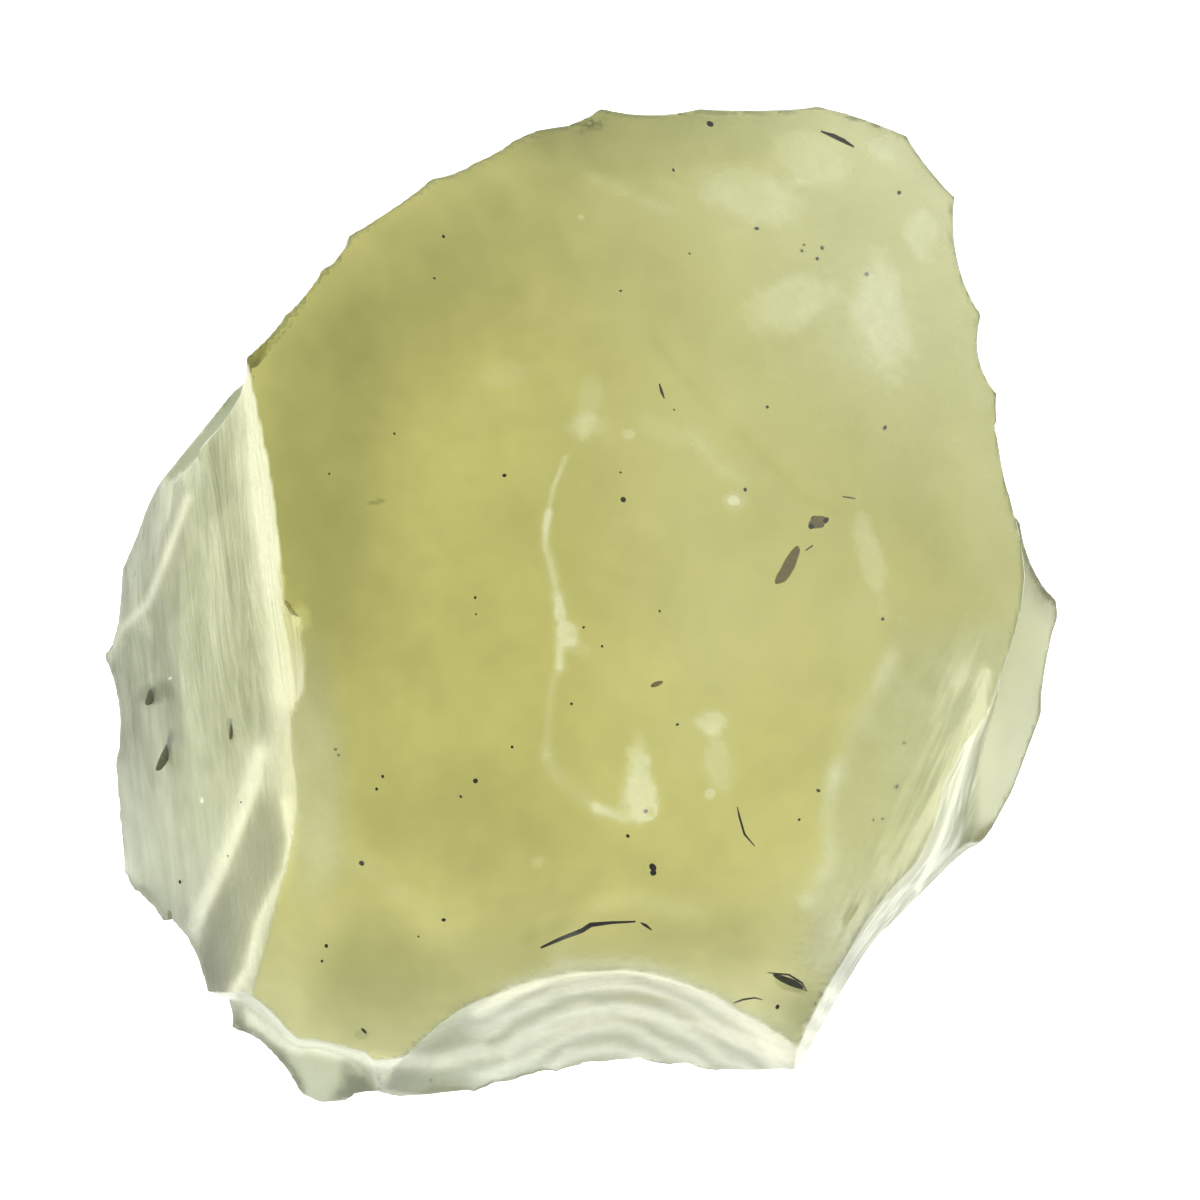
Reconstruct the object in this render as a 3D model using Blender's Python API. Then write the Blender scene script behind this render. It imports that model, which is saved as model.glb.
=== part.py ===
"""
Libyan desert glass: one broken lump of natural yellow glass, 42 mm long, resting on its flattest face.

The lump is shaped the way the real one was. A rough block is cut down by fracture faces, with one cutter
for each: the broad crown on top, the steep faces on the left, the rippled shell-shaped scar at the bottom,
the steps behind the flake on the right and behind the lip at the lower left, the hollows underneath, and a
row of small flake scars around the rim.

Sizes are in millimetres here and become metres when a mesh is finished. +Z is up, +Y is the long way, and
the finished lump's origin is under its middle, on the resting face.
"""
import math

import bmesh
import bpy
from mathutils import Matrix, Vector, noise

MM = 0.001

# The block and its cutters: how high the block stands, how far the cutters reach past it, and the spacing of
# the points on a cutter's face for the large faces, the shell-shaped scar and the small scars
BLOCK_TOP = 24.0
CUTTER_TOP = 30.0
CUTTER_BOTTOM = -8.0
PLAN_REACH = 24.0
GRID_STEP = 1.35
SCOOP_STEP = 0.65
SCAR_STEP = 1.0
HEART = Vector((0.0, 0.0, 8.0))

# The middle of the finished lump's plan, which becomes the origin
PLAN_MIDDLE = Vector((-0.0798, -0.2890, 0.0))

GLASS_COLOUR = (0.55, 0.52, 0.22, 1.0)
GLASS_ROUGHNESS = 0.25

# Crown: a nearly flat crest that falls away on every side
CREST_HEIGHT = 18.7
CREST_BLEND = 1.0
CROWN_SLOPES = (
    # a point on the border of the crest, the way the slope falls, how steeply, and its height there
    ((-2.0, 12.0), (0.81, 0.59), 0.21, 18.4),
    ((12.2, -6.5), (0.96, -0.28), 0.50, 17.2),
    ((3.0, -8.8), (0.10, -1.0), 0.66, 18.2),
    ((-9.5, -9.0), (-0.45, -0.89), 0.62, 17.8),
    ((-8.0, 12.5), (-0.55, 0.83), 0.45, 18.0),
)
CROWN_WAVE = 0.25
CROWN_WAVE_LENGTH = 7.0

# Corners of the block's outline, clockwise from the top left: x, y and the height where it is widest
OUTLINE = (
    (-13.9, 10.2, 0.8), (-12.2, 12.0, 0.8), (-9.5, 15.4, 0.8), (-6.2, 17.6, 0.8), (-4.3, 18.5, 0.8),
    (-1.1, 19.9, 1.0), (0.8, 20.6, 1.2), (6.5, 20.85, 2.5), (9.8, 20.75, 4.0), (13.6, 19.5, 5.5),
    (15.55, 16.95, 6.0), (16.75, 12.0, 6.0), (17.4, 8.7, 5.0), (18.65, 3.95, 3.0), (20.1, 0.3, 2.4),
    (20.2, -0.9, 2.4), (19.6, -4.4, 2.4), (18.25, -8.0, 2.6), (17.3, -9.7, 3.0), (16.2, -10.7, 3.6),
    (12.6, -14.5, 5.0), (9.6, -19.4, 6.5), (9.1, -19.65, 6.5),
    (-3.2, -20.35, 5.8), (-8.3, -20.5, 5.0), (-9.9, -20.95, 4.0), (-11.05, -21.25, 3.6), (-12.0, -20.8, 3.6),
    (-15.3, -17.9, 3.6), (-16.3, -15.3, 3.6), (-18.6, -13.1, 3.4), (-19.5, -11.5, 3.2), (-19.8, -7.6, 3.1),
    (-20.35, -2.4, 3.0), (-20.0, 0.8, 3.0), (-18.5, 3.8, 2.8), (-17.9, 4.9, 2.4), (-16.2, 6.9, 1.4),
)

# Corners of the resting face before the hollows are broken out beside it
FOOT = (
    (-12.6, 6.2), (-12.2, 9.2), (-10.6, 11.8), (-8.2, 14.4), (-5.2, 16.4), (-1.8, 17.9), (1.5, 18.7),
    (6.5, 18.9), (12.0, 17.0), (14.5, 10.0), (15.5, 0.0), (14.5, -7.0), (11.0, -12.0), (7.0, -15.5),
    (-3.0, -16.0), (-9.0, -15.0), (-12.0, -10.0), (-12.4, -5.0), (-12.6, 0.0),
)

# Large fracture faces: two points of the upper edge, one point at the foot, the depth of the hollow, and
# how far the face runs on past the two points
LARGE_FACES = {
    "left": ((-13.86, 10.1, 17.2), (-11.85, -2.1, 18.4), (-19.72, -3.4, 4.6), -0.10, 14.0),
    "left_outer": ((-16.6, 4.3, 11.2), (-20.1, -1.9, 4.2), (-18.5, 3.8, 6.4), 0.1, 2.5),
    "bevel": ((-11.75, -2.6, 18.45), (-12.0, -11.0, 17.1), (-13.9, -6.7, 16.7), 0.5, 1.5),
    "bottom_left": ((-9.34, -19.36, 11.0), (-4.19, -18.8, 12.4), (-5.5, -20.8, 6.2), 0.0, 5.0),
}

# The scar in the low end of the left face, which curls up along one side to the edge of that face
LOW_SCAR = ((-17.05, -2.5, 11.4), (-13.7, -7.0, 13.5), (-20.1, -13.05, 2.9))
LOW_SCAR_HOLLOW = 0.5
LOW_SCAR_CURL = 0.9

# The shell-shaped scar at the bottom
SCOOP_START = (-4.6, -16.9, 13.0)
SCOOP_END = (9.4, -19.4, 10.6)
SCOOP_FOOT = (2.9, -19.95, 6.4)
SCOOP_HOLLOW = 1.95
SCOOP_FADE = 0.66
SCOOP_CURL = 0.25
SCOOP_RIPPLE = 0.10
SCOOP_RIPPLE_LENGTH = 1.9

# Faces on the underside, between the rim and the resting face
LOWER_FACES = {
    "lower_left": ((-19.3, -9.5, 3.1), (-19.8, -0.5, 3.2), (-12.2, -4.5, 0.0), 0.3, 3.0),
    "lower_left_front": ((-18.4, -12.9, 3.5), (-12.6, -19.5, 3.7), (-9.5, -10.5, 0.0), 0.3, 2.5),
    "lower_front": ((-7.0, -20.7, 4.9), (8.0, -19.9, 6.2), (0.5, -9.8, 0.0), 0.35, 3.0),
    "lower_right_front": ((9.4, -19.0, 5.8), (15.8, -10.9, 4.6), (6.6, -9.4, 0.0), 0.3, 2.5),
    "lower_right": ((17.0, -9.9, 3.7), (19.9, -2.0, 2.7), (9.4, -3.6, 0.0), 0.3, 3.0),
}

# The steps behind the flake and the lip: points along the foot of the wall, each with how far the wall
# leans back for every millimetre of its height; then the height of the ledge and how it falls outward
FLAKE_WALL = (
    (17.2, 7.4, 0.0), (17.75, 4.75, 0.0), (18.2, 2.8, -0.01), (18.38, 1.13, -0.02), (18.28, -0.54, 0.0),
    (17.9, -2.38, 0.02), (17.35, -4.6, 0.05), (16.9, -6.1, 0.12), (16.5, -7.75, 0.18), (16.1, -10.0, 0.2),
    (15.15, -11.5, 0.18), (13.85, -13.0, 0.1), (12.4, -14.9, 0.02), (11.6, -16.4, -0.02),
)
FLAKE_HEIGHT = 7.6
FLAKE_FALL = 0.45
LIP_WALL = (
    (-16.2, -16.6, 0.1), (-15.3, -16.75, 0.1), (-14.3, -16.95, 0.12), (-13.4, -17.65, 0.12),
    (-12.6, -18.4, 0.1), (-12.0, -18.85, 0.1), (-10.8, -18.95, 0.1), (-9.5, -19.5, 0.15), (-8.7, -20.6, 0.2),
)
LIP_HEIGHT = 6.4
LIP_FALL = 0.5

# Small scars around the rim: the two ends of each, the face or the height above it, how far the wall is
# undercut in degrees, the hollow and the depth
RIM_SCARS = (
    ((-13.86, 10.12), (-12.24, 11.86), "crown", 1.0, 0.10, 17.0),
    ((-12.24, 11.86), (-10.70, 13.73), "crown", 1.5, 0.10, 17.0),
    ((-10.70, 13.73), (-9.54, 15.19), "crown", 0.5, 0.20, 17.0),
    ((-9.54, 15.19), (-6.23, 17.48), "crown", 1.0, 0.05, 17.0),
    ((-6.23, 17.48), (-4.32, 18.22), "crown", 1.5, 0.08, 16.5),
    ((-4.32, 18.22), (-2.29, 19.61), "crown", 0.5, 0.14, 16.5),
    ((-2.29, 19.61), (-1.04, 19.66), "crown", 1.5, 0.05, 16.5),
    ((-1.04, 19.66), (0.83, 20.46), "crown", 1.0, 0.12, 16.0),
    ((0.83, 20.46), (4.99, 20.43), "crown", 1.0, 0.25, 14.5),
    ((4.95, 20.46), (9.79, 20.58), "crown", 1.0, 0.06, 13.0),
    ((9.79, 20.61), (13.54, 19.42), "crown", 1.0, -0.12, 11.0),
    ((13.54, 19.42), (15.51, 16.84), "crown", 1.0, 0.08, 10.0),
    ((15.51, 16.84), (16.67, 11.92), "crown", 1.5, 0.48, 10.0),
    ((16.67, 11.92), (17.26, 8.67), "crown", 1.0, 0.50, 11.0),
    ((17.26, 8.67), (17.75, 4.63), "crown", 1.0, 0.12, 12.0),
    ((18.46, 3.84), (19.92, 0.19), 6.6, 2.0, 0.36, 4.2),
    ((20.03, -0.90), (19.45, -4.44), 6.4, 2.0, 0.08, 3.8),
    ((15.30, -10.08), (11.78, -13.79), 12.5, -7.5, 0.12, 8.0),
    ((11.83, -14.05), (8.90, -19.15), 11.5, -6.0, 0.15, 7.0),
    ((-9.95, -20.90), (-8.40, -20.45), 5.0, 15.0, 0.25, 2.5),
    ((-18.50, -13.00), (-16.10, -14.90), 5.6, 20.0, 0.10, 2.6),
    ((-16.20, -14.75), (-15.35, -17.10), 8.0, 16.0, 0.08, 4.0),
    ((-19.62, -5.60), (-20.15, -2.60), "left", 30.0, 0.25, 2.0),
    ((-20.20, -2.20), (-19.80, 0.60), "left", 25.0, 0.45, 2.0),
    ((-19.93, 0.66), (-18.53, 3.66), "left_outer", 12.0, 0.06, 4.0),
    ((-17.60, 4.47), (-15.85, 6.47), "left", 2.0, 0.12, 12.0),
    ((-15.81, 6.47), (-14.06, 8.72), "left", 1.0, 0.12, 16.5),
)
SCAR_CURL = 0.35
SCAR_BESIDE = 1.6

# Two short scars that meet in the notch beside the lip; they draw back sharply past their ends
NOTCH_SCARS = (
    ((-15.05, -18.05), (-13.10, -19.00), 6.4, 12.0, 0.06, 4.2),
    ((-13.10, -19.00), (-12.00, -20.65), 5.6, 12.0, 0.12, 3.6),
)
NOTCH_CURL = 3.0
NOTCH_BESIDE = 1.2


def smooth_min(values, blend):
    """The lowest value, with the corner between two near values rounded."""
    low = min(values)
    total = sum(math.exp(-(value - low) / blend) for value in values)
    return low - blend * math.log(total)


def wave(u, v, length, seed):
    """Gentle unevenness between about -1 and 1."""
    return noise.noise(Vector((u / length, v / length, seed)))


def crown_height(x, y):
    """Height of the top face."""
    heights = [CREST_HEIGHT]
    for (px, py), (dx, dy), slope, height in CROWN_SLOPES:
        run = ((x - px) * dx + (y - py) * dy) / math.hypot(dx, dy)
        heights.append(height - slope * run)
    height = smooth_min(heights, CREST_BLEND)
    return height + CROWN_WAVE * wave(x, y, CROWN_WAVE_LENGTH, 1.3)


def ramp(distance, slope, depth):
    """Steep at first, then levelling out at the given depth."""
    if distance <= 0.0:
        return slope * distance
    return depth * (1.0 - math.exp(-distance * slope / depth))


def middle_hollow(x, y):
    """Hollow under the middle, with a steep edge on its left and at its foot."""
    from_line = x + 1.15 + 0.35 * math.sin(y * 0.55)
    from_foot = y + 9.1 + 0.12 * (x - 2.0)
    from_right = 0.80 * (9.0 - x) + 0.30 * (y + 6.0)
    height = smooth_min((ramp(from_line, 0.8, 3.2), ramp(from_foot, 0.75, 3.0), 0.5 * from_right), 0.3)
    return max(height + 0.2 * wave(x, y, 4.0, 7.7), -1.0)


def upper_hollow(x, y):
    """Broad scar under the upper right, which leaves the lump thin along that rim."""
    beyond = (x - 3.2) * 0.726 + (y - 10.9) * 0.689
    height = ramp(beyond, 0.5, 2.6) + 0.38 * max(beyond, 0.0)
    return max(height + 0.2 * wave(x, y, 6.0, 3.1), -1.0)


def face_height(face, x, y):
    """Height over a point of the plan of the crown, of a large face taken as flat, or as given."""
    if face == "crown":
        return crown_height(x, y)
    if face not in LARGE_FACES:
        return face
    start, end, foot = (Vector(point) for point in LARGE_FACES[face][:3])
    normal = (end - start).cross(foot - start)
    return start.z - (normal.x * (x - start.x) + normal.y * (y - start.y)) / normal.z


def finish_mesh(name, builder, frame, is_cutter):
    """Turns the built faces into an object, in metres."""
    bmesh.ops.transform(builder, matrix=frame, verts=builder.verts)
    bmesh.ops.translate(builder, vec=-PLAN_MIDDLE, verts=builder.verts)
    bmesh.ops.scale(builder, vec=(MM, MM, MM), verts=builder.verts)
    bmesh.ops.recalc_face_normals(builder, faces=builder.faces)
    mesh = bpy.data.meshes.new(name)
    builder.to_mesh(mesh)
    builder.free()
    thing = bpy.data.objects.new(name, mesh)
    bpy.context.scene.collection.objects.link(thing)
    if is_cutter:
        thing.hide_render = True
        thing.display_type = 'WIRE'
    return thing


def slab(name, frame, across, along, reach, relief, step=GRID_STEP):
    """A cutter whose near face bites into the lump and whose far face is well outside it."""
    builder = bmesh.new()
    columns = max(2, round((across[1] - across[0]) / step))
    rows = max(2, round((along[1] - along[0]) / step))
    bmesh.ops.create_grid(builder, x_segments=columns, y_segments=rows, size=1.0)
    for vert in builder.verts:
        u = across[0] + (vert.co.x + 1.0) * 0.5 * (across[1] - across[0])
        v = along[0] + (vert.co.y + 1.0) * 0.5 * (along[1] - along[0])
        vert.co = Vector((u, v, relief(u, v)))
    grown = bmesh.ops.extrude_face_region(builder, geom=list(builder.faces), use_keep_orig=True)
    for item in grown["geom"]:
        if isinstance(item, bmesh.types.BMVert):
            item.co.z = reach
    return finish_mesh(name, builder, frame, is_cutter=True)


def face_frame(start, end, foot):
    """Axes of a fracture face: X along its edge, Y down to its foot, Z out of the lump."""
    middle = (start + end) * 0.5
    along = (end - start).normalized()
    down = foot - middle
    down = (down - along * down.dot(along)).normalized()
    out = along.cross(down)
    if out.dot(middle - HEART) < 0.0:
        along = -along
        out = -out
    frame = Matrix((along, down, out)).transposed().to_4x4()
    frame.translation = middle
    return frame


def fracture(name, start, end, foot, hollow, beside, above=3.0, below=4.0, reach=12.0, fade=0.5,
             curl=0.0, ripple=0.0, ripple_length=2.0, rough=0.12, step=GRID_STEP):
    """A shell-like fracture face through two points of its edge and one at its foot."""
    start, end, foot = Vector(start), Vector(end), Vector(foot)
    frame = face_frame(start, end, foot)
    half = (end - start).length * 0.5
    length = (frame.inverted() @ foot).y
    seed = start.x * 0.37 + start.y * 0.61

    def relief(u, v):
        down = min(max(v / length, 0.0), 1.0)
        bowl = hollow * (min((u / half) ** 2, 3.0) - 1.0) * (1.0 - fade * down)
        lifted = curl * (max(v - length, 0.0) ** 2 + max(abs(u) - half, 0.0) ** 2)
        lifted = min(lifted, 0.6 * reach)
        rings = ripple * math.sin(math.tau * math.hypot(u, v - length) / ripple_length)
        return bowl + lifted + rings + rough * wave(u, v, 3.5, seed)

    side = half + beside
    return slab(name, frame, (-side, side), (-above, length + below), reach, relief, step)


def rim_scar(name, start, end, face, undercut, hollow, depth, curl=SCAR_CURL, beside=SCAR_BESIDE):
    """A small flake scar in the wall under the rim, between two points of the outline."""
    first = Vector((start[0], start[1], face_height(face, *start)))
    last = Vector((end[0], end[1], face_height(face, *end)))
    outward = Vector((first.y - last.y, last.x - first.x, 0.0)).normalized()
    middle = (first + last) * 0.5
    if outward.dot(middle - HEART) < 0.0:
        outward = -outward
    foot = middle - outward * depth * math.tan(math.radians(undercut)) - Vector((0.0, 0.0, depth))
    return fracture(name, first, last, foot, hollow, beside=beside, above=4.0, below=2.8, reach=6.0,
                    fade=1.0, curl=curl, rough=0.05, step=SCAR_STEP)


def step_cutter(name, wall, height, fall, reach=9.0, wall_rows=5, ledge_rows=4):
    """Takes away what stands over a ledge, and leaves a wall behind it."""
    builder = bmesh.new()
    points = [Vector((x, y)) for x, y, lean in wall]
    sections = []
    for number, (x, y, lean) in enumerate(wall):
        before = points[max(number - 1, 0)]
        after = points[min(number + 1, len(points) - 1)]
        run = (after - before).normalized()
        outward = Vector((run.y, -run.x))
        if outward.dot(points[number]) < 0.0:
            outward = -outward
        section = []
        for row in range(wall_rows, 0, -1):
            rise = (CUTTER_TOP - height) * (row / wall_rows) ** 1.5
            place = points[number] - outward * lean * rise
            section.append((place.x, place.y, height + rise))
        for row in range(ledge_rows + 1):
            out = reach * row / ledge_rows
            place = points[number] + outward * out
            unevenness = 0.2 * wave(place.x, place.y, 3.0, 5.0)
            section.append((place.x, place.y, height - fall * out + unevenness))
        place = points[number] + outward * reach
        section.append((place.x, place.y, CUTTER_TOP))
        sections.append([builder.verts.new(point) for point in section])
    for one, two in zip(sections, sections[1:]):
        for index in range(len(one)):
            follow = (index + 1) % len(one)
            builder.faces.new((one[index], one[follow], two[follow], two[index]))
    builder.faces.new(sections[0])
    builder.faces.new(list(reversed(sections[-1])))
    return finish_mesh(name, builder, Matrix(), is_cutter=True)


def rough_block():
    """The block before it broke: the widest outline over a smaller foot."""
    builder = bmesh.new()
    for x, y, low in OUTLINE:
        builder.verts.new((x, y, low))
        builder.verts.new((x, y, BLOCK_TOP))
    for x, y in FOOT:
        builder.verts.new((x, y, 0.0))
    bmesh.ops.convex_hull(builder, input=builder.verts)
    loose = [vert for vert in builder.verts if not vert.link_faces]
    bmesh.ops.delete(builder, geom=loose, context='VERTS')
    return finish_mesh("glass_fragment", builder, Matrix(), is_cutter=False)


def desert_glass():
    """Plain yellow glass."""
    material = bpy.data.materials.new("desert_glass")
    material.use_nodes = True
    surface = material.node_tree.nodes["Principled BSDF"]
    surface.inputs["Base Color"].default_value = GLASS_COLOUR
    surface.inputs["Roughness"].default_value = GLASS_ROUGHNESS
    surface.inputs["Metallic"].default_value = 0.0
    return material


def build():
    for thing in list(bpy.data.objects):
        bpy.data.objects.remove(thing, do_unlink=True)
    lump = rough_block()
    lump.data.materials.append(desert_glass())
    plan = (-PLAN_REACH, PLAN_REACH)
    cutters = [
        slab("crown", Matrix(), plan, plan, CUTTER_TOP, crown_height),
        slab("middle_hollow", Matrix(), (-6.0, 14.0), (-14.0, 16.0), CUTTER_BOTTOM, middle_hollow),
        slab("upper_hollow", Matrix(), plan, plan, CUTTER_BOTTOM, upper_hollow),
    ]
    for name, (start, end, foot, hollow, beside) in LARGE_FACES.items():
        cutters.append(fracture(name, start, end, foot, hollow, beside))
    cutters.append(fracture("low_scar", *LOW_SCAR, LOW_SCAR_HOLLOW, 3.0, above=8.0, below=1.0, fade=0.2,
                            curl=LOW_SCAR_CURL))
    cutters.append(fracture("scoop", SCOOP_START, SCOOP_END, SCOOP_FOOT, SCOOP_HOLLOW, 5.0,
                            fade=SCOOP_FADE, curl=SCOOP_CURL, ripple=SCOOP_RIPPLE,
                            ripple_length=SCOOP_RIPPLE_LENGTH, step=SCOOP_STEP))
    for name, (start, end, foot, hollow, beside) in LOWER_FACES.items():
        cutters.append(fracture(name, start, end, foot, hollow, beside, above=2.0, below=1.5, reach=6.0))
    cutters.append(step_cutter("flake_step", FLAKE_WALL, FLAKE_HEIGHT, FLAKE_FALL))
    cutters.append(step_cutter("lip_step", LIP_WALL, LIP_HEIGHT, LIP_FALL))
    for number, scar in enumerate(RIM_SCARS):
        cutters.append(rim_scar(f"rim_scar_{number:02d}", *scar))
    for number, scar in enumerate(NOTCH_SCARS):
        cutters.append(rim_scar(f"notch_scar_{number}", *scar, curl=NOTCH_CURL, beside=NOTCH_BESIDE))
    faces = bpy.data.collections.new("fracture_faces")
    bpy.context.scene.collection.children.link(faces)
    for cutter in cutters:
        faces.objects.link(cutter)
        bpy.context.scene.collection.objects.unlink(cutter)
    cut = lump.modifiers.new("fractures", 'BOOLEAN')
    cut.operation = 'DIFFERENCE'
    cut.solver = 'EXACT'
    cut.operand_type = 'COLLECTION'
    cut.collection = faces


build()
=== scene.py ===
# %% [markdown]
# # A broken lump of Libyan desert glass
# Desert glass is natural silica glass, pale yellow and nearly clear, which breaks like bottle glass: in shell
# shaped scars with sharp ridges between them. Here it lies on a light table and is seen from straight above,
# so nearly all the light that reaches the eye has come up through it. The look is therefore made of three
# things: how thick the glass is at each place, how matt each broken face is, and what is caught inside.

# %% Load the frame
import math
import random

import bpy
import numpy as np
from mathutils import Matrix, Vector, noise
from mathutils.bvhtree import BVHTree


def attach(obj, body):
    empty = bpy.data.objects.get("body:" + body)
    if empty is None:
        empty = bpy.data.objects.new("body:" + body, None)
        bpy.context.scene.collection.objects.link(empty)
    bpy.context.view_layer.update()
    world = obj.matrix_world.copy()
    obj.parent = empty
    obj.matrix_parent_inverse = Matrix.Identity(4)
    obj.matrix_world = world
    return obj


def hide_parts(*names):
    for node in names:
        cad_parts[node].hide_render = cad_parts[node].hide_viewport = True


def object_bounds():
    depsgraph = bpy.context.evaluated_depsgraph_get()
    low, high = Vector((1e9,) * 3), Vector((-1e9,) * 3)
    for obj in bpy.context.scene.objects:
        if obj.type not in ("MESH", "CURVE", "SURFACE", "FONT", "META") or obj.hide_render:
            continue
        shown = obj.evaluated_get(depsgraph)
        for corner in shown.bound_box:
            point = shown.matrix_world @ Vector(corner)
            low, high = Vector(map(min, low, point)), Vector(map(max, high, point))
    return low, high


MM = 0.001
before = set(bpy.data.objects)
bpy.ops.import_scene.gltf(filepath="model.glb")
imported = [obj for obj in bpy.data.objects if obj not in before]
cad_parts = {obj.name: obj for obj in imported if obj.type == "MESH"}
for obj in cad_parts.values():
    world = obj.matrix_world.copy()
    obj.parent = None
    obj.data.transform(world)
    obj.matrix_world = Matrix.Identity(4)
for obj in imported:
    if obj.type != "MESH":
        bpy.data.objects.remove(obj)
cad_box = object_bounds()
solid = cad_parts["glass_fragment"]
print("solid:", len(solid.data.polygons), "faces,",
      [round((high - low) / MM, 1) for low, high in zip(*cad_box)], "mm")

# %% [markdown]
# ## A copy of the solid
# The solid has flat little faces. Glass shows each of them, because it bends the light by their slope. So the
# lump starts as a copy of the solid, to be given a finer skin. The solid comes as loose triangles, and the
# corners of the copy are merged first, so that its faces hang together.

# %% Copy the solid
MERGE_REACH = 0.001


def only(thing):
    """Selects one object, and makes it the one that operators work on."""
    bpy.ops.object.select_all(action='DESELECT')
    thing.select_set(True)
    bpy.context.view_layer.objects.active = thing


only(solid)
bpy.ops.object.duplicate()
lump = bpy.context.object
lump.name = "desert_glass_lump"
lump.parent = None
# the copy is no node of the frame, so the marks that made the solid one are taken off
for key in list(lump.keys()):
    del lump[key]
bpy.ops.object.mode_set(mode='EDIT')
bpy.ops.mesh.select_all(action='SELECT')
bpy.ops.mesh.remove_doubles(threshold=MERGE_REACH * MM)
bpy.ops.object.mode_set(mode='OBJECT')
print("copy:", len(lump.data.vertices), "points")

# %% [markdown]
# ## An even skin
# A sharp remesh covers the copy with squares of a quarter of a millimetre and keeps its ridges crisp. Such a
# skin can be smoothed on the broad faces, and is fine enough to be painted. The remesh leaves a few places
# where two sheets share an edge. They are cut out, and the holes are closed again.

# %% Give the copy an even skin
SKIN_DEPTH = 8
SKIN_SCALE = 0.66


def modify(thing, kind, **settings):
    """Adds a modifier with its settings, and applies it."""
    only(thing)
    change = thing.modifiers.new(kind.lower(), kind)
    for name, value in settings.items():
        setattr(change, name, value)
    bpy.ops.object.modifier_apply(modifier=change.name)


modify(lump, 'REMESH', mode='SHARP', octree_depth=SKIN_DEPTH, scale=SKIN_SCALE, sharpness=1.0)
bpy.ops.object.mode_set(mode='EDIT')
bpy.ops.mesh.select_mode(type='VERT')
bpy.ops.mesh.select_all(action='DESELECT')
bpy.ops.mesh.select_non_manifold()
bpy.ops.mesh.delete(type='VERT')
bpy.ops.mesh.select_non_manifold()
bpy.ops.mesh.fill_holes(sides=0)
bpy.ops.mesh.select_all(action='SELECT')
bpy.ops.mesh.normals_make_consistent(inside=False)
bpy.ops.mesh.select_all(action='DESELECT')
bpy.ops.mesh.select_non_manifold()
bpy.ops.object.mode_set(mode='OBJECT')
open_points = sum(point.select for point in lump.data.vertices)
print("skin:", len(lump.data.vertices), "points, open ones:", open_points)

# %% [markdown]
# ## A soft underside
# The underside was ground soft by sand, and no ridge of it shows through the glass. A smooth modifier rounds
# it all over. A vertex group tells the modifier where to work: its weights come from how far each point faces
# downwards.

# %% Smooth the underside
UNDER_TILT = (0.3, 0.6)
UNDER_STEPS = 200
SMOOTH_SHARE = 0.5
WEIGHT_STEPS = 100


def normals(thing):
    """The direction in which each point of a mesh faces."""
    found = np.empty(len(thing.data.vertices) * 3)
    thing.data.vertex_normals.foreach_get("vector", found)
    return found.reshape(-1, 3)


def ramp(values, start, end):
    """0 below start and 1 above end, with a soft rise between them."""
    part = np.clip((values - start) / (end - start), 0.0, 1.0)
    return part * part * (3.0 - 2.0 * part)


def group(thing, name, weights):
    """A vertex group with one weight for each point, in steps of a hundredth."""
    made = thing.vertex_groups.new(name=name)
    steps = np.round(np.clip(weights, 0.0, 1.0) * WEIGHT_STEPS).astype(int)
    for step in np.unique(steps):
        made.add(np.flatnonzero(steps == step).tolist(), step / WEIGHT_STEPS, 'REPLACE')


downward = ramp(-normals(lump)[:, 2], *UNDER_TILT)
group(lump, "underside", downward)
modify(lump, 'SMOOTH', factor=SMOOTH_SHARE, iterations=UNDER_STEPS, vertex_group="underside")
print("points of the underside:", int((downward > 0.5).sum()))

# %% [markdown]
# ## Ridges stay, facets go
# On the faces above, the smooth modifier would round the ridges as well as the facets. Points where the skin
# turns sharply get a low weight, and so do those of the rippled scar, whose waves are wanted. One small notch
# in the ridge on the left is let go, because the real ridge runs on softly there.

# %% Smooth the broad faces
RIDGE_ANGLES = (6.6, 11.0)
RIPPLED_SCAR = (2.5, -19.0)
SCAR_FADE, SCAR_SQUASH = (7.5, 8.5), 2.0
SCAR_HOLD = 0.9
NOTCH = (-11.7, -0.6)
NOTCH_FADE, NOTCH_TILT = (0.95, 1.9), (0.0, 0.2)
FACET_STEPS = 90
LAST_STEPS = 4


def places(thing):
    """Every point of a mesh, in millimetres."""
    found = np.empty(len(thing.data.vertices) * 3)
    thing.data.vertices.foreach_get("co", found)
    return found.reshape(-1, 3) / MM


def edge_ends(thing):
    """The two points of every edge."""
    found = np.empty(len(thing.data.edges) * 2, int)
    thing.data.edges.foreach_get("vertices", found)
    return found.reshape(-1, 2)


def soften(values, ends):
    """Each point's value blended with those of its neighbours."""
    count = np.bincount(ends.ravel(), minlength=len(values))
    total = np.bincount(ends[:, 0], values[ends[:, 1]], len(values))
    total += np.bincount(ends[:, 1], values[ends[:, 0]], len(values))
    return 0.5 * values + 0.5 * total / np.maximum(count, 1)


place = places(lump)
facing = normals(lump)
ends = edge_ends(lump)
alike = np.sum(facing[ends[:, 0]] * facing[ends[:, 1]], axis=1)
turn = np.degrees(np.arccos(np.clip(alike, -1.0, 1.0)))
sharpest = np.zeros(len(place))
np.maximum.at(sharpest, ends[:, 0], turn)
np.maximum.at(sharpest, ends[:, 1], turn)
free = soften(1.0 - ramp(sharpest, *RIDGE_ANGLES), ends)
from_notch = np.hypot(place[:, 0] - NOTCH[0], place[:, 1] - NOTCH[1])
in_notch = ramp(facing[:, 2], *NOTCH_TILT) * (1.0 - ramp(from_notch, *NOTCH_FADE))
free = np.maximum(free, in_notch)
from_scar = np.hypot(place[:, 0] - RIPPLED_SCAR[0], SCAR_SQUASH * (place[:, 1] - RIPPLED_SCAR[1]))
in_scar = 1.0 - ramp(from_scar, *SCAR_FADE)
group(lump, "facets", free * (1.0 - SCAR_HOLD * in_scar))
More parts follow.
